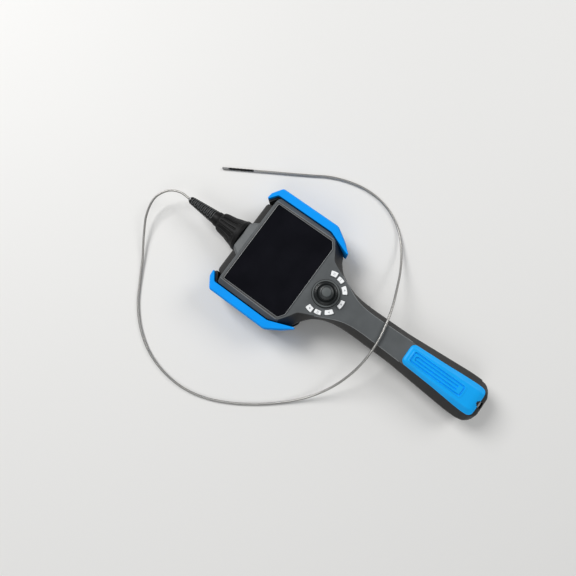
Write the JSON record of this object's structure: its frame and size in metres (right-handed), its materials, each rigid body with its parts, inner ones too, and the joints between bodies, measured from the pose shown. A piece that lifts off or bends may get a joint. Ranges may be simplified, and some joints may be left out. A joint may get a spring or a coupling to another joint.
{
  "type": "inspection camera",
  "caption": "Handheld inspection camera with a flat screen, thumb joystick, arc of keys, grip, and a thin insertion tube with a steerable tip.",
  "frame": {"origin": "middle of the box around the handset, coupling and strain relief, on the surface it lies on", "axes": "+X to the right of a person reading the screen, +Y from the grip to the tube coupling, +Z out of the screen"},
  "size_m": [0.3395, 0.4605, 0.0634],
  "materials": {
    "grey_shell": "fine moulded texture, satin",
    "black_shell": "fine moulded texture, matt",
    "blue_rubber": "soft overmoulded rubber, satin",
    "pad_rubber": "soft overmoulded rubber, satin",
    "thumb_rubber": "satin",
    "seal_rubber": "matt",
    "black_rubber": "soft, matt",
    "black_coupling": "fluted, satin",
    "screen_glass": "black cover glass over a display that is off",
    "bezel": "satin ridge",
    "white_key": "satin",
    "circuit_board": "solder mask",
    "display_panel": "satin",
    "light_metal": "turned",
    "steel": "satin",
    "brass": "turned",
    "cell_wrap": "shrink wrap",
    "tube_braid": "fine metal braid",
    "tip_steel": "satin",
    "lens": "polished",
    "lamp": "clear"
  },
  "bodies": {
    "handset": {"front_housing": "grey_shell", "rear_housing": "black_shell", "housing_seal": "seal_rubber", "bezel_frame": "bezel", "screen_glass": "screen_glass", "lcd_module": "display_panel", "main_board": "circuit_board", "keypad_board": "circuit_board", "bumper_left": "blue_rubber", "bumper_right": "blue_rubber", "grip_pad": "pad_rubber", "end_cap": "black_shell", "lanyard_bar": "steel", "battery_cell_1": "cell_wrap", "battery_cell_2": "cell_wrap", "joystick_ring": "black_rubber", "joystick_boot": "black_rubber", "joystick_bracket": "display_panel", "steering_motor_1": "steel", "steering_motor_2": "steel", "coupling_socket": "light_metal", "coupling_plug": "light_metal", "strain_relief": "black_rubber", "relief_collar": "light_metal", "insertion_tube": "tube_braid", "tube_ferrule": "tip_steel", "tripod_bush": "brass", "housing_screw_1": "steel", "housing_screw_2": "steel", "housing_screw_3": "steel", "housing_screw_4": "steel", "housing_screw_5": "steel", "housing_screw_6": "steel"},
    "gimbal": {"joystick_gimbal": "steel"},
    "stick": {"joystick_stem": "steel", "joystick_skirt": "black_rubber", "joystick_cap": "thumb_rubber", "stick_magnet": "display_panel"},
    "key_1_body": {"key_1": "white_key"},
    "key_2_body": {"key_2": "white_key"},
    "key_3_body": {"key_3": "white_key"},
    "key_4_body": {"key_4": "white_key"},
    "key_5_body": {"key_5": "white_key"},
    "key_6_body": {"key_6": "white_key"},
    "key_7_body": {"key_7": "white_key"},
    "coupling_nut": {"coupling_ring": "black_coupling"},
    "drum_1": {"wire_drum_1": "brass"},
    "drum_2": {"wire_drum_2": "brass"},
    "link_1": {"bend_link_1": "tip_steel"},
    "link_2": {"bend_link_2": "tip_steel"},
    "link_3": {"bend_link_3": "tip_steel"},
    "link_4": {"bend_link_4": "tip_steel"},
    "link_5": {"bend_link_5": "tip_steel"},
    "link_6": {"bend_link_6": "tip_steel"},
    "link_7": {"bend_link_7": "tip_steel"},
    "tip": {"distal_tip": "tip_steel", "tip_lens": "lens", "tip_light_1": "lamp", "tip_light_2": "lamp"}
  },
  "joints": [
    {"name": "joystick_side_tilt", "type": "hinge", "parent": "handset", "child": "gimbal", "pos_m": [0, 0.003, 0.044], "axis": [0, 1, 0], "range_deg": [-20, 20], "stiffness_Nm_per_rad": 0.08},
    {"name": "joystick_fore_tilt", "type": "hinge", "parent": "gimbal", "child": "stick", "pos_m": [0, 0.003, 0.044], "axis": [1, 0, 0], "range_deg": [-20, 20], "stiffness_Nm_per_rad": 0.08},
    {"name": "key_1_press", "type": "slide", "parent": "handset", "child": "key_1_body", "axis": [0, 0, -1], "range_m": [0, 0.0008], "stiffness_N_per_m": 600},
    {"name": "key_2_press", "type": "slide", "parent": "handset", "child": "key_2_body", "axis": [0, 0, -1], "range_m": [0, 0.0008], "stiffness_N_per_m": 600},
    {"name": "key_3_press", "type": "slide", "parent": "handset", "child": "key_3_body", "axis": [0, 0, -1], "range_m": [0, 0.0008], "stiffness_N_per_m": 600},
    {"name": "key_4_press", "type": "slide", "parent": "handset", "child": "key_4_body", "axis": [0, 0, -1], "range_m": [0, 0.0008], "stiffness_N_per_m": 600},
    {"name": "key_5_press", "type": "slide", "parent": "handset", "child": "key_5_body", "axis": [0, 0, -1], "range_m": [0, 0.0008], "stiffness_N_per_m": 600},
    {"name": "key_6_press", "type": "slide", "parent": "handset", "child": "key_6_body", "axis": [0, 0, -1], "range_m": [0, 0.0008], "stiffness_N_per_m": 600},
    {"name": "key_7_press", "type": "slide", "parent": "handset", "child": "key_7_body", "axis": [0, 0, -1], "range_m": [0, 0.0008], "stiffness_N_per_m": 600},
    {"name": "coupling_turn", "type": "hinge", "parent": "handset", "child": "coupling_nut", "pos_m": [0, 0.142, 0.024], "axis": [0, 1, 0], "range_deg": [0, 90]},
    {"name": "drum_1_turn", "type": "hinge", "parent": "handset", "child": "drum_1", "pos_m": [-0.024, 0.1045, 0.018], "axis": [0, 1, 0], "range_deg": [-60, 60]},
    {"name": "drum_2_turn", "type": "hinge", "parent": "handset", "child": "drum_2", "pos_m": [0.024, 0.1045, 0.018], "axis": [0, 1, 0], "range_deg": [-60, 60]},
    {"name": "bend_1", "type": "hinge", "parent": "handset", "child": "link_1", "pos_m": [0.08125, 0.17379, 0.0016], "axis": [0, 0, 1], "range_deg": [-30, 30]},
    {"name": "bend_2", "type": "hinge", "parent": "link_1", "child": "link_2", "pos_m": [0.07895, 0.17778, 0.0016], "axis": [0.866, 0.5, 0], "range_deg": [-30, 30]},
    {"name": "bend_3", "type": "hinge", "parent": "link_2", "child": "link_3", "pos_m": [0.07665, 0.18176, 0.0016], "axis": [0, 0, 1], "range_deg": [-30, 30]},
    {"name": "bend_4", "type": "hinge", "parent": "link_3", "child": "link_4", "pos_m": [0.07435, 0.18574, 0.0016], "axis": [0.866, 0.5, 0], "range_deg": [-30, 30]},
    {"name": "bend_5", "type": "hinge", "parent": "link_4", "child": "link_5", "pos_m": [0.07205, 0.18973, 0.0016], "axis": [0, 0, 1], "range_deg": [-30, 30]},
    {"name": "bend_6", "type": "hinge", "parent": "link_5", "child": "link_6", "pos_m": [0.06975, 0.19371, 0.0016], "axis": [0.866, 0.5, 0], "range_deg": [-30, 30]},
    {"name": "bend_7", "type": "hinge", "parent": "link_6", "child": "link_7", "pos_m": [0.06745, 0.1977, 0.0016], "axis": [0, 0, 1], "range_deg": [-30, 30]},
    {"name": "bend_8", "type": "hinge", "parent": "link_7", "child": "tip", "pos_m": [0.06515, 0.20168, 0.0016], "axis": [0.866, 0.5, 0], "range_deg": [-30, 30]}
  ],
  "couplings": [
    {"joint": "drum_1_turn", "follows": "joystick_side_tilt", "ratio": 3},
    {"joint": "drum_2_turn", "follows": "joystick_fore_tilt", "ratio": 3},
    {"joint": "bend_1", "follows": "joystick_side_tilt", "ratio": 1.5},
    {"joint": "bend_2", "follows": "joystick_fore_tilt", "ratio": 1.5},
    {"joint": "bend_3", "follows": "joystick_side_tilt", "ratio": 1.5},
    {"joint": "bend_4", "follows": "joystick_fore_tilt", "ratio": 1.5},
    {"joint": "bend_5", "follows": "joystick_side_tilt", "ratio": 1.5},
    {"joint": "bend_6", "follows": "joystick_fore_tilt", "ratio": 1.5},
    {"joint": "bend_7", "follows": "joystick_side_tilt", "ratio": 1.5},
    {"joint": "bend_8", "follows": "joystick_fore_tilt", "ratio": 1.5}
  ]
}
